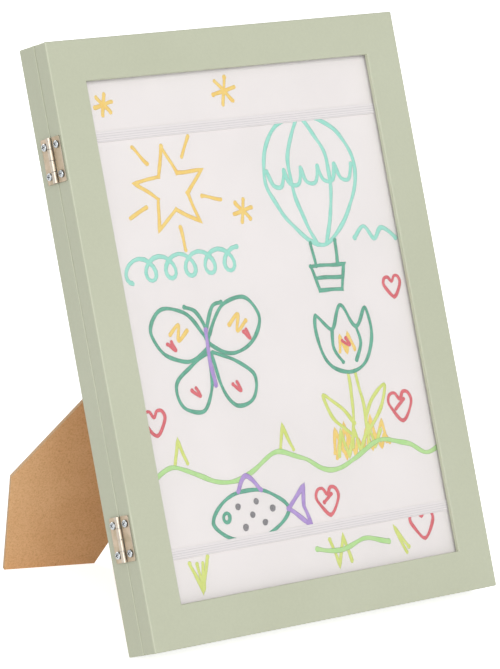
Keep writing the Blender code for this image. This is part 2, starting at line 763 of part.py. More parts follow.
def hanger():
    """A sawtooth hanger: a strip that stands off the wood in the middle, toothed below."""
    flat_end = hanger_length / 2 - hanger_foot_length
    raised = flat_end - hanger_joggle_length
    top = hanger_height / 2
    stations = [(-hanger_length / 2, 0.0, -top), (-flat_end, 0.0, -top)]
    pitch = 2 * raised / hanger_tooth_count
    for index in range(hanger_tooth_count):
        x = -raised + index * pitch
        stations.append((x, hanger_rise, -top))
        stations.append((x + pitch / 2, hanger_rise, -top + hanger_tooth_depth))
    stations += [(raised, hanger_rise, -top), (flat_end, 0.0, -top), (hanger_length / 2, 0.0, -top)]
    solid = bmesh.new()
    columns = []
    for x, lift, low in stations:
        near, far = fit_gap + lift, fit_gap + lift + hanger_sheet
        columns.append([solid.verts.new(point) for point in
                        ((x, near, low), (x, near, top), (x, far, top), (x, far, low))])
    for left, right in zip(columns, columns[1:]):
        for index in range(4):
            after = (index + 1) % 4
            solid.faces.new((left[index], left[after], right[after], right[index]))
    solid.faces.new(columns[0])
    solid.faces.new(columns[-1])
    bmesh.ops.recalc_face_normals(solid, faces=solid.faces)
    holes = [rod((x, 0, 0), (x, fit_gap + hanger_sheet + cut_overrun, 0), nail_radius + fit_gap)
             for x in hanger_nail_ends()]
    return cut(solid, holes)


# Two sawtooth hangers, for hanging the frame upright or on its side, and their nails
for name, frame in hanger_frames().items():
    piece(name, move(hanger(), frame), leaning_frame, zinc_screw)
    for side, x in zip(("left", "right"), hanger_nail_ends()):
        seat = 2 * fit_gap + hanger_sheet
        profile = [(0.0, seat - nail_length), (nail_radius, seat - nail_length + 2 * nail_radius),
                   (nail_radius, seat), (nail_head_radius, seat), (nail_head_radius, seat + nail_head_height),
                   (0.0, seat + nail_head_height)]
        upright = Matrix.Translation((x, 0, 0)) @ Matrix.Rotation(-math.pi / 2, 4, "X")
        nail = move(turned(profile, round_sides // 2), frame @ upright)
        piece(f"{name}_{side}_nail", nail, leaning_frame, steel_grey, smooth=True)

# The origin: the middle of the footprint, on the table that the frame stands on
bpy.context.view_layer.update()
corners = [made.matrix_world @ vert.co for made in bpy.data.objects if made.type == "MESH"
           for vert in made.data.vertices]
low = Vector([min(point[axis] for point in corners) for axis in range(3)])
high = Vector([max(point[axis] for point in corners) for axis in range(3)])
leaning_frame.location = Vector(((low.x + high.x) / -2, (low.y + high.y) / -2, -low.z))
bpy.context.view_layer.update()
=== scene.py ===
import math
import random

import bmesh
import bpy
from mathutils import Matrix, Vector


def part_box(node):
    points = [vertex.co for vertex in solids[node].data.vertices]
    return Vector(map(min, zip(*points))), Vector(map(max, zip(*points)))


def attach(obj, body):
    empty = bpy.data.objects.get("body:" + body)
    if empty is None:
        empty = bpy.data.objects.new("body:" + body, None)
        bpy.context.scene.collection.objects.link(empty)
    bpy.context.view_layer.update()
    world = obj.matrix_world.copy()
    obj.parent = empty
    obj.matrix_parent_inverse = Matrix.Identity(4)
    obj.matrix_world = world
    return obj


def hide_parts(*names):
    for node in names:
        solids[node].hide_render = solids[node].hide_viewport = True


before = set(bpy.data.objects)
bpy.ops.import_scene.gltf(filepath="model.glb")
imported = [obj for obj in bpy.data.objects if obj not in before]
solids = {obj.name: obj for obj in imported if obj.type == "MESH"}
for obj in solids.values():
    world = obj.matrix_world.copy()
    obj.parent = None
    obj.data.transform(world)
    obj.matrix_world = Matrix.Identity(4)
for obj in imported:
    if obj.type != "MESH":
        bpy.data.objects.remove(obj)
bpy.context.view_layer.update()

# The box: four rails of fibreboard, mitred, glued and sprayed sage green over the joints, so that
# none of them shows. A rebate behind takes the back panel, notches inside take the bands' ends.
frame_width, frame_height = 0.249, 0.336
box_front, box_back = -0.0141, 0.0
box_rail, box_back_rail, panel_rebate = 0.019, 0.014, 0.0033
on_it = 0.0001  # how near a face or an outline counts as on it
lean, panel_thickness = math.radians(20), 0.003
panel_low, panel_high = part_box("back_panel")
upright_to_table = (Matrix.Translation((panel_low + panel_high) / 2) @ Matrix.Rotation(-lean, 4, "X")
                    @ Matrix.Translation((-frame_width / 2, panel_thickness / 2, -frame_height / 2)))


def alone(piece):
    """Selects one piece and nothing else."""
    bpy.ops.object.select_all(action="DESELECT")
    piece.select_set(True)
    bpy.context.view_layer.objects.active = piece


def block(name, low, high):
    """A block between two corners, still to be shaped."""
    bpy.ops.object.select_all(action="DESELECT")
    low, high = Vector(low), Vector(high)
    bpy.ops.mesh.primitive_cube_add(size=1, location=(low + high) / 2, scale=high - low)
    bpy.ops.object.transform_apply(location=True, rotation=True, scale=True)
    made = bpy.context.object
    made.name = made.data.name = name
    return made


def rod(name, start, end, radius, sides):
    """A round bar between two points."""
    bpy.ops.object.select_all(action="DESELECT")
    start, end = Vector(start), Vector(end)
    turn = (end - start).to_track_quat("Z", "Y").to_euler()
    bpy.ops.mesh.primitive_cylinder_add(vertices=sides, radius=radius, depth=(end - start).length,
                                        location=(start + end) / 2, rotation=turn)
    bpy.ops.object.transform_apply(location=True, rotation=True, scale=True)
    made = bpy.context.object
    made.name = made.data.name = name
    return made


def pick(piece, kind, wanted):
    """In edit mode, selects the faces or edges whose middle and direction pass a test."""
    bpy.ops.mesh.select_mode(type=kind)
    bpy.ops.mesh.select_all(action="DESELECT")
    shape = bmesh.from_edit_mesh(piece.data)
    if kind == "FACE":
        for face in shape.faces:
            if wanted(face.calc_center_median(), face.normal):
                face.select_set(True)
    else:
        for edge in shape.edges:
            first, last = edge.verts[0].co, edge.verts[1].co
            if wanted((first + last) / 2, (last - first).normalized()):
                edge.select_set(True)
    bmesh.update_edit_mesh(piece.data)


def ease(piece, radius, wanted, segments=3):
    """Rounds over the edges that pass a test, or with one segment gives them a flat chamfer."""
    alone(piece)
    bpy.ops.object.mode_set(mode="EDIT")
    pick(piece, "EDGE", wanted)
    bpy.ops.mesh.bevel(offset=radius, segments=segments, affect="EDGES")
    bpy.ops.object.mode_set(mode="OBJECT")


def carve(piece, cutters):
    """Cuts holes or notches with shapes that stay clear of each other."""
    alone(cutters[0])
    for cutter in cutters:
        cutter.select_set(True)
    bpy.ops.object.join()
    tool = bpy.context.object
    alone(piece)
    hole = piece.modifiers.new("hole", "BOOLEAN")
    hole.operation, hole.solver, hole.object = "DIFFERENCE", "EXACT", tool
    bpy.ops.object.modifier_apply(modifier=hole.name)
    bpy.data.objects.remove(tool, do_unlink=True)


def polish(piece, angle=35):
    """Smooth shading that keeps the flat faces flat."""
    alone(piece)
    bpy.ops.object.shade_smooth_by_angle(angle=math.radians(angle))
    even = piece.modifiers.new("even", "WEIGHTED_NORMAL")
    even.keep_sharp = True
    bpy.ops.object.modifier_apply(modifier=even.name)


def seat(piece, body, finishes, replaced=(), upright=True):
    """Gives a finished piece its materials, leans it back if it was made upright, and joins it to a body."""
    piece.data.materials.clear()
    for finish in finishes:
        piece.data.materials.append(finish)
    if upright:
        piece.data.transform(upright_to_table)
    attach(piece, body)
    if replaced:
        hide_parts(*replaced)


def rail_ring(name, front, back, front_width, back_width, rebate):
    """Four rails as one ring: a block opened from the front and the back, with a rebate behind."""
    ring = block(name, (0, front, 0), (frame_width, back, frame_height))
    bpy.ops.object.mode_set(mode="EDIT")
    pick(ring, "FACE", lambda middle, normal: normal.y < -0.5)
    bpy.ops.mesh.inset(thickness=front_width)
    bpy.ops.mesh.delete(type="FACE")
    pick(ring, "FACE", lambda middle, normal: normal.y > 0.5)
    bpy.ops.mesh.inset(thickness=back_width)
    bpy.ops.mesh.extrude_region_move(TRANSFORM_OT_translate={"value": (0, -rebate, 0)})
    bpy.ops.mesh.inset(thickness=front_width - back_width)
    bpy.ops.mesh.delete(type="FACE")
    bpy.ops.mesh.select_mode(type="EDGE")
    bpy.ops.mesh.select_all(action="DESELECT")
    bpy.ops.mesh.select_non_manifold(extend=False)
    bpy.ops.mesh.bridge_edge_loops()
    bpy.ops.mesh.select_all(action="SELECT")
    bpy.ops.mesh.normals_make_consistent(inside=False)
    bpy.ops.object.mode_set(mode="OBJECT")
    return ring


def rim_gap(place):
    """How far a place lies inside the frame's outer outline."""
    return min(place.x, frame_width - place.x, place.z, frame_height - place.z)


def add(tree, kind, inputs=None, **settings):
    """Adds a shader node; each input is a plain value or the socket that feeds it."""
    made = tree.nodes.new("ShaderNode" + kind)
    for name, value in settings.items():
        setattr(made, name, value)
    for name, value in (inputs or {}).items():
        if isinstance(value, bpy.types.NodeSocket):
            tree.links.new(value, made.inputs[name])
        else:
            made.inputs[name].default_value = value
    return made


def tone(red, green, blue):
    """A colour read from 0 to 255 on a screen, as the renderer's linear values."""
    linear = [((part / 255 + 0.055) / 1.055) ** 2.4 for part in (red, green, blue)]
    return (*linear, 1.0)


def new_finish(name, **sockets):
    """A Principled material with its plain sockets set; gives its tree, shader and object coordinates."""
    material = bpy.data.materials.new(name)
    material.use_nodes = True
    tree = material.node_tree
    shader = tree.nodes["Principled BSDF"]
    for socket, value in sockets.items():
        shader.inputs[socket.replace("_", " ")].default_value = value
    place = add(tree, "TexCoord").outputs["Object"]
    return material, tree, shader, place


def blotches(tree, place, scale, stops, detail=4.0, rough=0.5):
    """Soft noise at a scale, turned into colours or values by a ramp of (position, colour) stops."""
    noise = add(tree, "TexNoise", {"Vector": place, "Scale": scale, "Detail": detail, "Roughness": rough})
    ramp = add(tree, "ValToRGB", {"Fac": noise.outputs["Fac"]})
    while len(ramp.color_ramp.elements) < len(stops):
        ramp.color_ramp.elements.new(0.5)
    for element, (position, shade) in zip(ramp.color_ramp.elements, stops):
        element.position = position
        element.color = shade if len(shade) == 4 else (*shade, 1.0)
    return ramp.outputs["Color"]


def relief(tree, shader, height, depth, strength):
    """Bump of a given depth in metres."""
    bump = add(tree, "Bump", {"Height": height, "Distance": depth, "Strength": strength})
    tree.links.new(bump.outputs["Normal"], shader.inputs["Normal"])


# Sage paint: satin, sprayed and lightly rubbed between coats, with the faintest orange peel.
paint, tree, shader, place = new_finish("sage_paint", Specular_IOR_Level=0.35)
cloudy = blotches(tree, place, 9.0, [(0.3, tone(196, 200, 176)), (0.7, tone(201, 205, 182))])
fine = blotches(tree, place, 700.0, [(0.3, (0.97, 0.97, 0.97)), (0.7, (1.0, 1.0, 1.0))], detail=2.0)
mixed = add(tree, "MixRGB", {"Fac": 1.0, "Color1": cloudy, "Color2": fine}, blend_type="MULTIPLY")
tree.links.new(mixed.outputs["Color"], shader.inputs["Base Color"])
peel = blotches(tree, place, 420.0, [(0.25, (0.0, 0.0, 0.0)), (0.75, (1.0, 1.0, 1.0))], detail=3.0)
relief(tree, shader, peel, 0.00003, 0.35)
sheen = blotches(tree, place, 60.0, [(0.2, (0.3, 0.3, 0.3)), (0.8, (0.4, 0.4, 0.4))])
tree.links.new(sheen, shader.inputs["Roughness"])

box_ring = rail_ring("painted_box", box_front, box_back, box_rail, box_back_rail, panel_rebate)
seam_chamfer, outer_round, cavity_round = 0.0008, 0.0006, 0.0003
ease(box_ring, seam_chamfer, lambda middle, run: rim_gap(middle) < on_it
     and abs(middle.y - box_front) < on_it, segments=1)
ease(box_ring, outer_round, lambda middle, run: rim_gap(middle) < on_it
     and (abs(run.y) > 0.9 or abs(middle.y - box_back) < on_it), segments=4)
ease(box_ring, cavity_round, lambda middle, run: abs(middle.y - box_front) < on_it
     and abs(rim_gap(middle) - box_rail) < on_it)

cutter_start = 0.001  # how far outside the wood a cutter begins
sheet_bands = {"upper": 0.2817, "lower": 0.0505}
notch_depth, notch_half_height, notch_back = 0.0022, 0.004, -0.006
notches = []
for height in sheet_bands.values():
    for wall, outward in ((box_rail, -1), (frame_width - box_rail, 1)):
        left, right = sorted((wall + outward * notch_depth, wall - outward * cutter_start))
        notches.append(block("notch", (left, box_front - cutter_start, height - notch_half_height),
                             (right, notch_back, height + notch_half_height)))

hinge_heights = {"upper": 0.2723, "lower": 0.0637}
hinge_line, screw_reach, screw_rise = -0.01425, 0.0055, 0.00815
pilot_end, pilot_radius = 0.0083, 0.0011
magnet_line = frame_width - box_rail / 2
pocket_depth, pocket_radius = 0.0026, 0.0033


def holes_in(face, inward):
    """Cutters for the magnets' pockets and the hinge screws' pilots on one side of the seam."""
    cutters = []
    for height in hinge_heights.values():
        cutters.append(rod("pocket", (magnet_line, face - inward * cutter_start, height),
                           (magnet_line, face + inward * pocket_depth, height), pocket_radius, 40))
        for rise in (-screw_rise, screw_rise):
            start = Vector((-cutter_start, hinge_line + inward * screw_reach, height + rise))
            cutters.append(rod("pilot", start, (pilot_end, start.y, start.z), pilot_radius, 16))
    return cutters


carve(box_ring, notches + holes_in(box_front, 1))
polish(box_ring)
seat(box_ring, "box", [paint],
     ["box_left_stile", "box_right_stile", "box_top_rail", "box_bottom_rail"])

# The back panel: a sheet of brown hardboard, flush in its rebate and held by six steel brads.
# Its sawn edges are paler and rougher than its pressed faces.
board, tree, shader, place = new_finish("hardboard", Roughness=0.78, Specular_IOR_Level=0.25)
broad = blotches(tree, place, 45.0, [(0.3, tone(226, 184, 138)), (0.7, tone(232, 192, 147))])
fibres = blotches(tree, place, 1000.0, [(0.32, (0.74, 0.65, 0.5)), (0.5, (0.93, 0.9, 0.85)),
                                        (0.68, (1.0, 1.0, 1.0))], detail=6.0, rough=0.72)
mixed = add(tree, "MixRGB", {"Fac": 1.0, "Color1": broad, "Color2": fibres}, blend_type="MULTIPLY")
shives = blotches(tree, place, 420.0, [(0.69, (1.0, 1.0, 1.0)), (0.76, (0.72, 0.64, 0.56))], detail=2.0)
flecked = add(tree, "MixRGB", {"Fac": 0.7, "Color1": mixed.outputs["Color"], "Color2": shives},
              blend_type="MULTIPLY")
tree.links.new(flecked.outputs["Color"], shader.inputs["Base Color"])
relief(tree, shader, fibres, 0.00008, 0.5)
board_edge, tree, shader, place = new_finish("hardboard_edge", Roughness=0.9, Specular_IOR_Level=0.15)
layers = blotches(tree, place, 1900.0, [(0.3, tone(198, 162, 124)), (0.7, tone(230, 200, 164))], detail=5.0)
tree.links.new(layers, shader.inputs["Base Color"])
relief(tree, shader, layers, 0.00015, 0.8)


def softened(name, solid, radius, sharp=30):
    """A copy of a solid with the edges that turn by more than an angle eased."""
    made = bpy.data.objects.new(name, solids[solid].data.copy())
    bpy.context.scene.collection.objects.link(made)
    alone(made)
    if made.data.has_custom_normals:
        bpy.ops.mesh.customdata_custom_splitnormals_clear()
    bpy.ops.object.mode_set(mode="EDIT")
    bpy.ops.mesh.select_all(action="SELECT")
    bpy.ops.mesh.remove_doubles(threshold=0.000002)
    bpy.ops.mesh.dissolve_limited(angle_limit=math.radians(1))
    bpy.ops.mesh.select_mode(type="EDGE")
    bpy.ops.mesh.select_all(action="DESELECT")
    bpy.ops.mesh.edges_select_sharp(sharpness=math.radians(sharp))
    bpy.ops.mesh.bevel(offset=radius, segments=2, affect="EDGES")
    bpy.ops.object.mode_set(mode="OBJECT")
    polish(made)
    return made


def saw_edges(piece):
    """Gives every face that isn't one of the board's two broad faces the sawn finish."""
    broadest = max(piece.data.polygons, key=lambda face: face.area).normal.copy()
    for face in piece.data.polygons:
        face.material_index = 0 if abs(face.normal.dot(broadest)) > 0.7 else 1


board_round = 0.0002
panel = softened("hardboard_panel", "back_panel", board_round)
seat(panel, "box", [board, board_edge], ["back_panel"], upright=False)
saw_edges(panel)

wire, tree, shader, place = new_finish("steel_wire", Metallic=1.0, Roughness=0.4)
drawn = blotches(tree, place, 900.0, [(0.3, tone(150, 150, 152)), (0.7, tone(186, 186, 188))])
tree.links.new(drawn, shader.inputs["Base Color"])
relief(tree, shader, drawn, 0.00002, 0.4)


def dress(finish, *names):
    """Gives solids that stay as they are their finish."""
    for name in names:
        solids[name].data.materials.clear()
        solids[name].data.materials.append(finish)


dress(wire, *[f"back_panel_brad_{number}" for number in range(1, 7)])

# The stored drawings: a stack of loose white sheets standing on the floor of the box, each of them
# a little out of line with the next.
paper, tree, shader, place = new_finish("paper", Roughness=0.85, Specular_IOR_Level=0.2)
pulp = blotches(tree, place, 25.0, [(0.3, tone(242, 236, 235)), (0.7, tone(246, 240, 239))])
grain = blotches(tree, place, 2600.0, [(0.3, (0.975, 0.975, 0.975)), (0.7, (1.0, 1.0, 1.0))])
mixed = add(tree, "MixRGB", {"Fac": 1.0, "Color1": pulp, "Color2": grain}, blend_type="MULTIPLY")
tree.links.new(mixed.outputs["Color"], shader.inputs["Base Color"])
relief(tree, shader, grain, 0.00002, 0.4)

sheet_left, sheet_bottom, sheet_width, sheet_height = 0.0195, 0.0193, 0.210, 0.297
stack_front, stack_back, sheet_count = -0.0188, -0.0044, 36
pitch = (stack_back - stack_front) / sheet_count
paper_share, corner_round = 0.85, 0.0015  # a sheet fills most of its pitch, the rest is air
chance = random.Random(4)
sheets = []
for number in range(sheet_count):
    left = sheet_left + chance.uniform(-0.0002, 0.0002)
    low = sheet_bottom + chance.uniform(0.0, 0.0004)
    near = stack_front + number * pitch
    sheet = block("sheet", (left, near, low),
                  (left + sheet_width, near + paper_share * pitch, low + sheet_height))
    ease(sheet, corner_round, lambda middle, run: abs(run.y) > 0.9)
    sheets.append(sheet)
alone(sheets[0])
for sheet in sheets:
    sheet.select_set(True)
bpy.ops.object.join()
sheets[0].name = sheets[0].data.name = "stored_drawings"
polish(sheets[0])
seat(sheets[0], "box", [paper], ["stored_sheets"])

# The drawing on show: one A4 sheet in front of the stack, drawn on with broad felt-tip pens. The
# ink is laid on in strokes that swell where the pen rests. The pens' paths are in millimetres,
# across from the sheet's left edge and up from its bottom edge.
dress(paper, "artwork_sheet")
drawing_front = -0.0193
pen_step, corner_turn = 0.8, 0.8


def smooth_path(points, closed=False):
    """A pen's smooth path through some points, as evenly spaced points."""
    count = len(points)
    spans = count if closed else count - 1
    path = []
    for index in range(spans):
        if closed:
            around = [Vector(points[(index + step) % count]) for step in (-1, 0, 1, 2)]
        else:
            around = [Vector(points[min(max(index + step, 0), count - 1)]) for step in (-1, 0, 1, 2)]
        before, start, end, after = around
        steps = max(2, round((end - start).length / pen_step))
        for step in range(steps):
            share = step / steps
            path.append(0.5 * (2 * start + (end - before) * share
                               + (2 * before - 5 * start + 4 * end - after) * share ** 2
                               + (3 * start - before - 3 * end + after) * share ** 3))
    path.append(Vector(points[0] if closed else points[-1]))
    return path


def straight_path(points):
    """A pen's path of straight runs, with its corners turned a little round."""
    eased_points = [points[0]]
    for before, corner, after in zip(points, points[1:], points[2:]):
        for other in (before, after):
            run = Vector(other) - Vector(corner)
            eased_points.append(Vector(corner) + run * min(0.3, corner_turn / run.length))
    eased_points.append(points[-1])
    return smooth_path(eased_points)


def loops(left, height, count, step, size):
    """A row of pen loops, fourteen points to a turn, that runs on a little past the last one."""
    turns = [index * math.pi / 7 for index in range(14 * count + 8)]
    return [Vector((left + step * turn - size * math.sin(turn), height - size * math.cos(turn)))
            for turn in turns]


def on_oval(x, z, turn, across, up):
    """The point at a turn on an oval round a middle."""
    return x + across * math.cos(turn), z + up * math.sin(turn)


def heart(x, z, size):
    """A closed heart outline."""
    outline = [(0, -1), (-0.9, 0.05), (-0.8, 0.7), (-0.35, 0.8),
               (0, 0.35), (0.35, 0.8), (0.8, 0.7), (0.9, 0.05)]
    return smooth_path([(x + across * size, z + up * size) for across, up in outline], closed=True)


def ring(x, z, across, up):
    """A closed oval."""
    turns = [math.pi / 4 * step + 0.3 for step in range(8)]
    return smooth_path([on_oval(x, z, turn, across, up) for turn in turns], closed=True)


star_middle, star_tip, star_dip = (52, 229), 25, 11
star_points = []
for corner in range(10):
    reach = star_dip if corner % 2 else star_tip
    star_points.append(on_oval(*star_middle, math.radians(90 + 36 * corner + 4), reach, reach))
star_rays = [straight_path([on_oval(*star_middle, turn, reach, reach) for reach in (21, 34)])
             for turn in (math.radians(130 + 72 * number) for number in range(5))]
twinkles = [straight_path([on_oval(x, z, turn, -size, -size), on_oval(x, z, turn, size, size)])
            for x, z, size in ((101, 281, 8), (99, 213, 6.5), (16, 280, 6))
            for turn in (0.2, 1.3, 2.3)]
scallops = [smooth_path([(121 + shift, 233), (124 + shift, 225), (130 + shift, 224), (133.4 + shift, 232)])
            for shift in (12.4 * number for number in range(5))]
wing_left = [(57, 146), (45, 161), (29, 164), (20, 153), (27, 140), (42, 134), (57, 140)]
wing_low = [(57, 137), (43, 131), (31, 122), (34, 109), (47, 106), (55, 118), (57, 131)]
wing_right = [(117 - x, z + 1) for x, z in wing_left]
wing_low_right = [(117 - x, z) for x, z in wing_low]
tulip = [(137, 149), (136, 132), (143, 119), (155, 115), (167, 119), (175, 133), (174, 150), (165, 140),
         (156, 153), (147, 140)]
fish = [(39, 44), (49, 55), (66, 59), (83, 55), (93, 45), (83, 36), (66, 31), (49, 35)]

# Each ink: its colour, its colour where the pen rests, the width of its line and its strokes.
drawing = {
    "mint": (tone(160, 230, 213), tone(146, 226, 207), 2.5, [
        smooth_path([(150, 262), (168, 258), (182, 244), (185, 226), (177, 209), (166, 196), (152, 188),
                     (138, 196), (127, 209), (119, 226), (122, 244), (133, 258)], closed=True),
        smooth_path([(149, 261), (138, 240), (139, 214), (148, 189)]),
        smooth_path([(153, 261), (165, 240), (164, 214), (155, 189)]),
        *scallops,
        loops(14, 187, 5, 2.2, 6.5),
        smooth_path([(176, 190), (184, 196), (190, 188), (197, 194), (206, 187)]),
    ]),
    "yellow": (tone(251, 216, 110), tone(248, 203, 84), 2.2, [
        straight_path(star_points + star_points[:1]), *star_rays, *twinkles,
        straight_path([(133, 71), (136, 84), (139, 72), (143, 86), (146, 72)]),
        straight_path([(158, 72), (163, 88), (165, 74), (171, 85), (172, 73)]),
        straight_path([(134, 68), (138, 78), (141, 67), (145, 80), (148, 68), (151, 77), (154, 69),
                       (158, 81), (161, 70), (164, 79), (168, 70), (171, 77), (174, 72)]),
        smooth_path([(33, 150), (40, 155), (38, 146), (45, 151)]),
        smooth_path([(75, 151), (82, 156), (80, 147), (87, 152)]),
        straight_path([(150, 127), (152, 136), (155, 126), (158, 137), (161, 127)]),
    ]),
    "lime": (tone(221, 232, 122), tone(211, 224, 98), 2.2, [
        smooth_path([(153, 115), (152, 95), (147, 73)]),
        smooth_path([(158, 115), (160, 95), (159, 73)]),
        smooth_path([(149, 79), (137, 90), (132, 104), (143, 96), (151, 86)]),
        smooth_path([(160, 80), (172, 92), (178, 105), (167, 98), (160, 88)]),
        straight_path([(18, 25), (24, 9), (31, 27)]),
        straight_path([(23, 24), (25, 10), (27, 24)]),
        straight_path([(118, 24), (122, 9), (128, 25), (131, 10)]),
        straight_path([(174, 12), (166, 24), (172, 9)]),
        straight_path([(20, 78), (25, 92), (29, 79)]),
        straight_path([(95, 78), (99, 91), (104, 77)]),
        straight_path([(136, 69), (140, 83), (143, 68), (150, 82), (152, 70), (161, 84), (163, 71),
                       (169, 80)]),
    ]),
    "light_green": (tone(187, 229, 150), tone(172, 226, 134), 2.7, [
        smooth_path([(-1, 70), (18, 78), (36, 71), (53, 65), (71, 68), (91, 77), (110, 71), (128, 62),
                     (146, 66), (166, 74), (186, 70), (200, 63), (211, 66)]),
        smooth_path([(108, 20), (125, 17), (143, 21), (160, 17)]),
    ]),
    "dark_green": (tone(84, 175, 145), tone(62, 154, 124), 2.2, [
        smooth_path(wing_left, closed=True), smooth_path(wing_low, closed=True),
        smooth_path(wing_right, closed=True), smooth_path(wing_low_right, closed=True),
        smooth_path([(58, 151), (53, 161), (46, 164)]), smooth_path([(59, 151), (65, 162), (72, 164)]),
        smooth_path(tulip, closed=True),
        smooth_path([(147, 140), (146, 130), (151, 121)]), smooth_path([(165, 140), (166, 130), (161, 121)]),
        smooth_path(fish, closed=True), ring(49, 46, 2.2, 2.4),
        straight_path([(143, 190), (144, 177)]), straight_path([(161, 190), (160, 177)]),
        straight_path([(140, 177), (164, 176), (160, 162), (144, 163), (140, 177)]),
        straight_path([(142, 170), (162, 169)]),
    ]),
    "red": (tone(228, 94, 104), tone(216, 72, 86), 2.0, [
        heart(187, 92, 9), heart(122, 46, 8.5), heart(187, 24, 9), heart(12, 104, 7.5), heart(197, 160, 6.5),
        straight_path([(183, 90), (190, 95)]), straight_path([(119, 45), (125, 49)]),
        smooth_path([(30, 145), (35, 141), (33, 146)]), smooth_path([(84, 146), (88, 142), (86, 147)]),
        smooth_path([(41, 118), (46, 114), (44, 119)]), smooth_path([(70, 118), (75, 114), (73, 119)]),
        smooth_path([(153, 133), (158, 130), (156, 134)]),
    ]),
    "purple": (tone(182, 150, 219), tone(166, 130, 208), 2.6, [
        smooth_path([(58, 150), (57, 136), (58, 119)]),
        straight_path([(93, 45), (106, 56), (104, 45), (107, 34), (93, 45)]),
        smooth_path([(60, 59), (67, 67), (76, 58)]),
    ]),
    "grey": (tone(132, 129, 132), tone(118, 115, 119), 2.2, [
        ring(x, z, 0.8, 0.8) for x, z in ((58, 51), (71, 52), (82, 47), (75, 40), (61, 39), (67, 45))
    ]),
}
ink_gap, ink_film, ink_flatness = 0.00004, 0.000028, 0.012
hand = random.Random(11)
for number, (ink_name, (pale, pooled, pen_width, strokes)) in enumerate(drawing.items()):
    trace = bpy.data.curves.new("ink_" + ink_name, "CURVE")
    trace.dimensions = "3D"
    trace.bevel_depth, trace.bevel_resolution, trace.use_fill_caps = 1.0, 2, True
    for stroke in strokes:
        # The line itself, which swells and wavers with the hand, then a blot at each of its ends.
        drift = [hand.uniform(0, 6.28) for _ in range(3)]
        for rest in (None, stroke[0], stroke[-1]):
            if rest is None:
                points = [Vector(point) for point in stroke]
            else:
                spread = pen_width / 2 * hand.uniform(1.0, 1.3)
                points = [Vector(rest) + Vector((step / 4 * spread, 0)) for step in range(-4, 5)]
            line = trace.splines.new("POLY")
            line.points.add(len(points) - 1)
            line.material_index = 0 if rest is None else 1
            run = 0.0
            for index, point in enumerate(points):
                run += (point - points[index - 1]).length if index else 0.0
                if rest is None:
                    swell = 1 + 0.10 * math.sin(run / 5 + drift[0]) + 0.06 * math.sin(run / 1.9 + drift[1])
                    waver = 0.18 * math.sin(run / 3.3 + drift[2])
                else:
                    swell = 2 * spread / pen_width * math.sqrt(max(0.02, 1 - ((index - 4) / 4) ** 2))
                    waver = 0.0
                line.points[index].co = ((point.x + waver) / 1000, 0, (point.y + waver) / 1000, 1)
                line.points[index].radius = pen_width / 2000 * swell
    made = bpy.data.objects.new("ink_" + ink_name, trace)
    bpy.context.scene.collection.objects.link(made)
    alone(made)
    bpy.ops.object.convert(target="MESH")
    ink_piece = bpy.context.object
    laid_on = drawing_front - ink_gap - ink_film * number
    ink_piece.data.transform(Matrix.Translation((sheet_left, laid_on, sheet_bottom))
                             @ Matrix.Diagonal((1, ink_flatness, 1, 1)))
    bpy.ops.object.shade_smooth()
    inks = []
    for ink, shade in (("ink", pale), ("pooled_ink", pooled)):
        finish, tree, shader, place = new_finish(ink_name + "_" + ink, Roughness=0.7, Specular_IOR_Level=0.2)
        darker = pooled if shade is pale else tuple(part * 0.9 for part in pooled[:3])
        streaks = blotches(tree, place, 190.0, [(0.36, darker), (0.56, shade)], detail=6.0, rough=0.7)
        tree.links.new(streaks, shader.inputs["Base Color"])
        inks.append(finish)
    seat(ink_piece, "box", inks)

# The two bands: flat white ribbed elastic, pulled across the sheets. Each end turns back into a
# notch in the stile and is stapled there, so that a drawing slips in behind.
elastic, tree, shader, place = new_finish("elastic", Roughness=0.85, Specular_IOR_Level=0.2, Sheen_Weight=0.2)
turned = add(tree, "Mapping", {"Vector": place, "Rotation": (lean, 0, 0)}).outputs["Vector"]
picks = add(tree, "TexWave", {"Vector": turned, "Scale": 420.0, "Distortion": 0.6, "Detail": 1.0},
            bands_direction="X")
cords = add(tree, "TexWave", {"Vector": turned, "Scale": 330.0, "Distortion": 0.3, "Detail": 1.0},
            bands_direction="Z")
weave = add(tree, "MixRGB", {"Fac": 0.5, "Color1": picks.outputs["Color"],
                             "Color2": cords.outputs["Color"]})
yarn = add(tree, "ValToRGB", {"Fac": weave.outputs["Color"]})
yarn.color_ramp.elements[0].color = tone(232, 227, 228)
yarn.color_ramp.elements[1].color = tone(246, 240, 240)
tree.links.new(yarn.outputs["Color"], shader.inputs["Base Color"])
relief(tree, shader, weave.outputs["Color"], 0.00006, 0.6)
# Painted shade in the ribs' grooves: a greyer white on the groove faces, for the shade that falls in them.
groove, tree, shader, place = new_finish("elastic_groove_painted_shade", Roughness=0.9, Specular_IOR_Level=0.1)
painted_groove_shade_tone = blotches(tree, place, 1500.0, [(0.3, tone(211, 206, 208)), (0.7, tone(223, 218, 220))])
tree.links.new(painted_groove_shade_tone, shader.inputs["Base Color"])

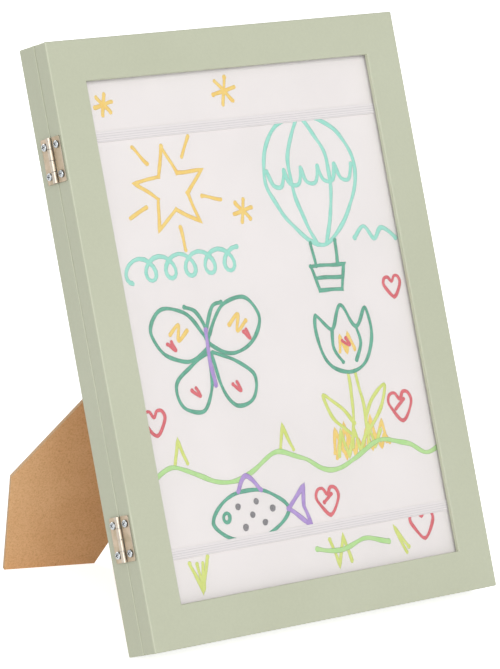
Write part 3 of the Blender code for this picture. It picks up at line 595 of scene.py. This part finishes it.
band_front, band_back, band_width, band_thickness, tail_length = -0.0203, -0.0196, 0.006, 0.0007, 0.0133
into_notch = 0.0019
band_left, band_right = box_rail - into_notch, frame_width - box_rail + into_notch
groove_heights, groove_half, groove_depth = (-0.0024, -0.0012, 0.0001, 0.0014), 0.00016, 0.00016
edge_round, turn_round = 0.00025, 0.0003
for name, height in sheet_bands.items():
    band = block(name + "_elastic", (band_left, band_front, height - band_width / 2),
                 (band_right, band_back, height + band_width / 2))
    bpy.ops.object.mode_set(mode="EDIT")
    for rise in groove_heights:
        for side in (-groove_half, groove_half):
            bpy.ops.mesh.select_all(action="SELECT")
            bpy.ops.mesh.bisect(plane_co=(0, 0, height + rise + side), plane_no=(0, 0, 1))
    for end in (band_left + band_thickness, band_right - band_thickness):
        bpy.ops.mesh.select_all(action="SELECT")
        bpy.ops.mesh.bisect(plane_co=(end, 0, 0), plane_no=(1, 0, 0))
    pick(band, "FACE", lambda middle, normal: normal.y > 0.5
         and min(middle.x - band_left, band_right - middle.x) < band_thickness)
    bpy.ops.mesh.extrude_region_move(TRANSFORM_OT_translate={"value": (0, tail_length, 0)})
    pick(band, "FACE", lambda middle, normal: normal.y < -0.5
         and any(abs(middle.z - height - rise) < groove_half for rise in groove_heights))
    bpy.ops.mesh.extrude_region_move(TRANSFORM_OT_translate={"value": (0, groove_depth, 0)})
    bpy.ops.object.mode_set(mode="OBJECT")
    ease(band, edge_round, lambda middle, run: abs(run.x) > 0.9
         and abs(abs(middle.z - height) - band_width / 2) < on_it)
    ease(band, turn_round, lambda middle, run: abs(run.z) > 0.9 and abs(middle.y - band_front) < 0.00001
         and min(middle.x - band_left, band_right - middle.x) < on_it)
    polish(band)
    grooved = [abs(face.center.y - band_front - groove_depth) < 0.00003 and face.normal.y < -0.9
               for face in band.data.polygons]
    seat(band, "box", [elastic, groove], [name + "_elastic_band"])
    for face, is_groove in zip(band.data.polygons, grooved):
        face.material_index = int(is_groove)
    dress(wire, name + "_band_left_staple", name + "_band_right_staple")

# The magnets: two pairs of small nickel-plated discs, pressed into pockets in the right stiles of
# the box and the door. They face each other across the seam and hold the door shut.
plated, tree, shader, place = new_finish("magnet_plate", Metallic=1.0, Roughness=0.22)
scuffs = blotches(tree, place, 600.0, [(0.3, tone(196, 197, 199)), (0.7, tone(214, 215, 217))])
tree.links.new(scuffs, shader.inputs["Base Color"])
disc_round = 0.0002
for place_name in ("upper", "lower"):
    for body in ("box", "door"):
        solid = place_name + "_" + body + "_magnet"
        seat(softened(solid + "_disc", solid, disc_round), body, [plated], [solid], upright=False)

# The door: the same kind of painted ring, with a lip in front that holds the pane and a rebate
# behind it. It turns on the two hinges at its left side.
door_front, door_back = -0.0244, -0.0144
door_rail, door_back_rail, pane_rebate = 0.0235, 0.0165, 0.0075
front_round, seam_round, window_round = 0.0009, 0.0002, 0.0007
corner_depth = 0.0005  # the back edge lies this far in where the corners are rounded
door_ring = rail_ring("painted_door", door_front, door_back, door_rail, door_back_rail, pane_rebate)
ease(door_ring, front_round, lambda middle, run: rim_gap(middle) < on_it
     and (abs(run.y) > 0.9 or abs(middle.y - door_front) < on_it), segments=4)
ease(door_ring, seam_round, lambda middle, run: abs(middle.y - door_back) < on_it
     and rim_gap(middle) < corner_depth)
ease(door_ring, window_round, lambda middle, run: abs(middle.y - door_front) < on_it
     and abs(rim_gap(middle) - door_rail) < on_it)
carve(door_ring, holes_in(door_back, -1))
polish(door_ring)
seat(door_ring, "door", [paint],
     ["door_left_stile", "door_right_stile", "door_top_rail", "door_bottom_rail"])

# The pane: clear acrylic, cut to the rebate behind the door's lip. Four painted beads, glued into
# the rebate behind it, hold it there.
clear, tree, shader, place = new_finish("clear_pane", Roughness=0.03, Alpha=0.06, IOR=1.49)
haze = blotches(tree, place, 30.0, [(0.3, (0.93, 0.95, 0.95)), (0.7, (1.0, 1.0, 1.0))])
tree.links.new(haze, shader.inputs["Base Color"])
pane_round, bead_round = 0.0001, 0.0002
pane = softened("acrylic_pane", "window_pane", pane_round)
seat(pane, "door", [clear], ["window_pane"], upright=False)
for side in ("left", "right", "top", "bottom"):
    solid = side + "_pane_bead"
    seat(softened(solid + "_strip", solid, bead_round), "door", [paint], [solid], upright=False)

# The door's hinges: two small butt hinges of rose-coloured plated sheet on the left side, their
# knuckles rolled round a pin. Each leaf has two domed screws with a cross in the head.
leaf_plate, tree, shader, place = new_finish("hinge_plate", Metallic=0.8, Roughness=0.5)
tarnish = blotches(tree, place, 190.0, [(0.38, tone(180, 165, 140)), (0.62, tone(200, 182, 161))])
rolled = blotches(tree, place, 2200.0, [(0.3, (0.93, 0.93, 0.93)), (0.7, (1.0, 1.0, 1.0))])
mixed = add(tree, "MixRGB", {"Fac": 1.0, "Color1": tarnish, "Color2": rolled}, blend_type="MULTIPLY")
tree.links.new(mixed.outputs["Color"], shader.inputs["Base Color"])
relief(tree, shader, rolled, 0.00001, 0.4)
# A paler, less pink finish: wear on the knuckles, and a painted highlight along the leaves' edges where they
# would catch the lamp.
knuckle, tree, shader, place = new_finish("knuckle_wear_and_painted_edge_highlight", Metallic=0.9, Roughness=0.48)
knuckle_wear_and_highlight_tone = blotches(tree, place, 700.0, [(0.3, tone(182, 172, 159)), (0.7, tone(195, 186, 172))])
tree.links.new(knuckle_wear_and_highlight_tone, shader.inputs["Base Color"])
relief(tree, shader, knuckle_wear_and_highlight_tone, 0.00001, 0.3)
# Painted shade on the knuckles' ends: a dark brown standing in for the shade in the narrow gaps between the
# knuckles.
knuckle_gap_shade, tree, shader, place = new_finish("knuckle_end_painted_shade", Metallic=0.7, Roughness=0.6)
painted_gap_shade_tone = blotches(tree, place, 900.0, [(0.3, tone(112, 90, 72)), (0.7, tone(142, 116, 96))])
tree.links.new(painted_gap_shade_tone, shader.inputs["Base Color"])
zinc, tree, shader, place = new_finish("zinc_plate", Metallic=1.0, Roughness=0.34)
spangle = blotches(tree, place, 500.0, [(0.3, tone(172, 177, 180)), (0.7, tone(193, 197, 200))])
tree.links.new(spangle, shader.inputs["Base Color"])
relief(tree, shader, spangle, 0.00001, 0.3)
# Painted shade on the screws: a dark grey on the cross and round the low rim of the head, standing in for the
# shade in the recess and under the head.
painted_screw_shade, tree, shader, place = new_finish("screw_painted_shade", Metallic=0.9, Roughness=0.5)
painted_screw_shade_tone = blotches(tree, place, 1200.0, [(0.3, tone(86, 89, 92)), (0.7, tone(112, 115, 118))])
tree.links.new(painted_screw_shade_tone, shader.inputs["Base Color"])

head_radius, rim_height, neck_inset = 0.0021, 0.0004, 0.0013
shank_length, tip_length = 0.0065, 0.0015
cross_reach, cross_half, cross_floor, cross_top = 0.0013, 0.0003, 0.0005, 0.002
model_screw = rod("screw", (0, 0, 0), (0, 0, rim_height), head_radius, 40)
bpy.ops.object.mode_set(mode="EDIT")
pick(model_screw, "FACE", lambda middle, normal: normal.z > 0.5)
for rise, shrink in ((0.00022, 0.93), (0.0002, 0.87), (0.00015, 0.78), (0.0001, 0.6), (0.00003, 0.4)):
    bpy.ops.mesh.extrude_region_move(TRANSFORM_OT_translate={"value": (0, 0, rise)})
    bpy.ops.transform.resize(value=(shrink, shrink, 1), center_override=(0, 0, 0))
pick(model_screw, "FACE", lambda middle, normal: normal.z < -0.5)
bpy.ops.mesh.inset(thickness=neck_inset)
bpy.ops.mesh.extrude_region_move(TRANSFORM_OT_translate={"value": (0, 0, -shank_length)})
bpy.ops.mesh.extrude_region_move(TRANSFORM_OT_translate={"value": (0, 0, -tip_length)})
bpy.ops.transform.resize(value=(0.15, 0.15, 1), center_override=(0, 0, 0))
bpy.ops.object.mode_set(mode="OBJECT")
for across, along in ((cross_reach, cross_half), (cross_half, cross_reach)):
    slot_cutter = block("slot", (-across, -along, cross_floor), (across, along, cross_top))
    bpy.ops.object.mode_set(mode="EDIT")
    pick(slot_cutter, "FACE", lambda middle, normal: normal.z < -0.5)
    bpy.ops.transform.resize(value=(0.6, 0.6, 1), center_override=(0, 0, cross_floor))
    bpy.ops.object.mode_set(mode="OBJECT")
    carve(model_screw, [slot_cutter])
polish(model_screw, 30)
# The faces that get the painted shade: the walls and floor of the cross, and the low rim of the head.
painted_shade_faces = []
for face in model_screw.data.polygons:
    near, far = sorted((abs(face.center.x), abs(face.center.y)))
    on_rim = 0.0 < face.center.z < rim_height - 0.00001
    in_cross = near < cross_half + 0.00002 and far < cross_reach + 0.00002
    if on_rim or (in_cross and face.center.z > cross_floor - 0.00001):
        painted_shade_faces.append(face.index)

pin_line, barrel_reach, leaf_round = -0.0018, 0.0016, 0.00008
table_to_upright = upright_to_table.inverted()
up_the_frame = upright_to_table.to_3x3() @ Vector((0, 0, 1))
for place_name in ("upper", "lower"):
    for body in ("box", "door"):
        solid = place_name + "_hinge_" + body + "_leaf"
        plate = softened(solid + "_plate", solid, leaf_round, sharp=40)
        seat(plate, body, [leaf_plate, knuckle, knuckle_gap_shade], [solid], upright=False)
        for face in plate.data.polygons:
            middle = table_to_upright @ face.center
            if math.hypot(middle.x - pin_line, middle.y - hinge_line) < barrel_reach:
                # The end faces of the knuckles get the painted gap shade.
                face.material_index = 2 if abs(face.normal.dot(up_the_frame)) > 0.9 else 1
            # The leaf's other edge faces take the paler finish as a painted highlight.
            elif abs(face.normal.x) < 0.8:
                face.material_index = 1
        for end in ("top", "bottom"):
            solid = place_name + "_hinge_" + body + "_" + end + "_screw"
            low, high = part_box(solid)
            screw = model_screw.copy()
            screw.data = model_screw.data.copy()
            screw.name = screw.data.name = solid + "_domed"
            bpy.context.scene.collection.objects.link(screw)
            head = Vector((high.x - shank_length - tip_length, (low.y + high.y) / 2, (low.z + high.z) / 2))
            screw.data.transform(Matrix.Translation(head) @ Matrix.Rotation(-math.pi / 2, 4, "Y")
                                 @ Matrix.Rotation(hand.uniform(0, math.pi), 4, "Z"))
            seat(screw, body, [zinc, painted_screw_shade], [solid], upright=False)
            for number in painted_shade_faces:
                screw.data.polygons[number].material_index = 1
    dress(zinc, place_name + "_hinge_pin")
bpy.data.objects.remove(model_screw, do_unlink=True)

# The easel strut: a leg of the same hardboard, sawn to shape, that swings out on a slanted hinge
# so that it stands the frame upright or on its side.
strut = softened("hardboard_strut", "easel_strut", board_round)
seat(strut, "strut", [board, board_edge], ["easel_strut"], upright=False)
saw_edges(strut)

# The strut's hinge: two zinc-plated leaves on a pin, one riveted to the panel and one to the
# strut, with stop tabs that hold the strut open.
sheet_round = 0.0001
for body, solid in (("box", "strut_hinge_panel_leaf"), ("strut", "strut_hinge_leg_leaf")):
    leaf = softened(solid + "_plate", solid, sheet_round, sharp=40)
    seat(leaf, body, [zinc], [solid], upright=False)
dress(zinc, "strut_hinge_pin", "panel_left_rivet", "panel_right_rivet", "strut_left_rivet",
      "strut_right_rivet")

# The hangers: two sawtooth strips of zinc-plated steel, each with two nails, for hanging the frame
# upright or on its side.
for solid in ("portrait_hanger", "landscape_hanger"):
    strip = softened(solid + "_strip", solid, sheet_round, sharp=40)
    seat(strip, "box", [zinc], [solid], upright=False)
    dress(wire, solid + "_left_nail", solid + "_right_nail")

# The studio: a white floor that runs out of sight, an even white surround and two soft lamps, a
# large one at the front left that draws the bright lines along the edges, and one behind.
bpy.ops.mesh.primitive_plane_add(size=30)
floor = bpy.context.object
floor.name = "floor"


def shows_in(tree):
    """A socket that is one where the camera, a gloss or glass shows the surface, and else zero."""
    seen = add(tree, "LightPath").outputs
    shown = add(tree, "Math", {0: seen["Is Camera Ray"], 1: seen["Is Glossy Ray"]}, operation="MAXIMUM")
    shown = add(tree, "Math", {0: shown.outputs[0], 1: seen["Is Transmission Ray"]}, operation="MAXIMUM")
    return shown.outputs[0]


floor_finish, tree, shader, place = new_finish("floor_white", Base_Color=(0.9, 0.9, 0.9, 1.0), Roughness=0.9,
                                               Specular_IOR_Level=0.0)
glow = add(tree, "Emission", {"Color": (1, 1, 1, 1), "Strength": 0.74})
lit = add(tree, "AddShader")
tree.links.new(shader.outputs["BSDF"], lit.inputs[0])
tree.links.new(glow.outputs["Emission"], lit.inputs[1])
choice = add(tree, "MixShader", {"Fac": shows_in(tree)})
tree.links.new(shader.outputs["BSDF"], choice.inputs[1])
tree.links.new(lit.outputs["Shader"], choice.inputs[2])
tree.links.new(choice.outputs["Shader"], tree.nodes["Material Output"].inputs["Surface"])
floor.data.materials.append(floor_finish)

world = bpy.data.worlds.new("studio")
bpy.context.scene.world = world
world.use_nodes = True
tree = world.node_tree
strength = add(tree, "MapRange", {"Value": shows_in(tree), "To Min": 0.36, "To Max": 1.0})
surround = tree.nodes["Background"]
surround.inputs["Color"].default_value = (1, 1, 1, 1)
tree.links.new(strength.outputs["Result"], surround.inputs["Strength"])


def lamp(name, place, aim, width, height, power):
    """A soft box lamp that faces a point."""
    light = bpy.data.lights.new(name, "AREA")
    light.shape, light.size, light.size_y, light.energy = "RECTANGLE", width, height, power
    made = bpy.data.objects.new(name, light)
    made.location = place
    made.rotation_euler = (Vector(aim) - Vector(place)).to_track_quat("-Z", "Y").to_euler()
    bpy.context.scene.collection.objects.link(made)


frame_middle = (0, 0, 0.16)
lamp("front_lamp", (-3.97, -7.16, 3.89), frame_middle, 5.2, 5.2, 520)
lamp("back_lamp", (0.0, 2.6, 1.6), frame_middle, 1.6, 1.6, 31)

# The camera: a long lens from the front left and a little above, as the photograph was taken. Its
# place, aim and focal length are fitted to the corners of the frame and its window.
camera = bpy.data.cameras.new("camera")
camera.lens, camera.sensor_width, camera.clip_end = 235.77, 36.0, 100.0
viewer = bpy.data.objects.new("camera", camera)
right = Vector((0.77255, -0.63372, 0.03954))
up = Vector((0.11242, 0.19780, 0.97378))
back = Vector((-0.62492, -0.74784, 0.22405))
viewer.matrix_world = (Matrix.Translation((-1.53622, -1.85942, 0.70535))
                       @ Matrix((right, up, back)).transposed().to_4x4())
bpy.context.scene.collection.objects.link(viewer)
bpy.context.scene.camera = viewer
bpy.context.scene.view_settings.view_transform = "Standard"
